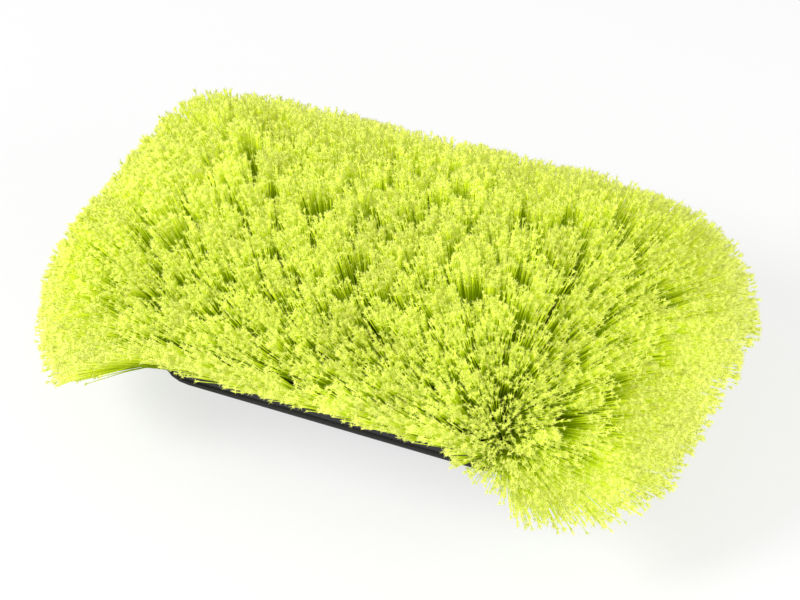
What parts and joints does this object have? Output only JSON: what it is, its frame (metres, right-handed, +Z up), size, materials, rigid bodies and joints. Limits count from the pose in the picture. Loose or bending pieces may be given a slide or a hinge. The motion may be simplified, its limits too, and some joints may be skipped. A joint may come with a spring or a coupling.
{
  "type": "water-fed wash brush head",
  "caption": "Loaf-shaped flow-through wash brush head: black moulded block with fanned lime split-tip bristles on top, sides and ends, and an angled pole socket on the back.",
  "frame": {"origin": "centre of the bounding box on the floor, on the foot of the back cover's hump", "axes": "+X along the block's length, +Y to the side the pole socket opens to, +Z up through the bristles"},
  "size_m": [0.3421, 0.2096, 0.1259],
  "materials": {
    "block_plastic": "moulded black polypropylene, fine texture",
    "cover_plastic": "moulded black polypropylene, fine texture",
    "gasket_rubber": "soft sealing rubber",
    "bumper_rubber": "matte soft rubber",
    "socket_plastic": "glass-filled nylon, satin",
    "screw_steel": "stainless, satin",
    "bristle_lime": "split-tip filament, lime green"
  },
  "bodies": {
    "root": {"bristle_block": "block_plastic", "back_cover": "cover_plastic", "gallery_gasket": "gasket_rubber", "edge_bumper": "bumper_rubber", "pole_socket": "socket_plastic", "socket_washer": "gasket_rubber", "cover_screw_01": "screw_steel", "cover_screw_02": "screw_steel", "cover_screw_03": "screw_steel", "cover_screw_04": "screw_steel", "cover_screw_05": "screw_steel", "cover_screw_06": "screw_steel", "cover_screw_07": "screw_steel", "cover_screw_08": "screw_steel", "cover_screw_09": "screw_steel", "cover_screw_10": "screw_steel", "bristles_front": "bristle_lime", "bristles_back": "bristle_lime", "bristles_left": "bristle_lime", "bristles_right": "bristle_lime"}
  },
  "joints": []
}
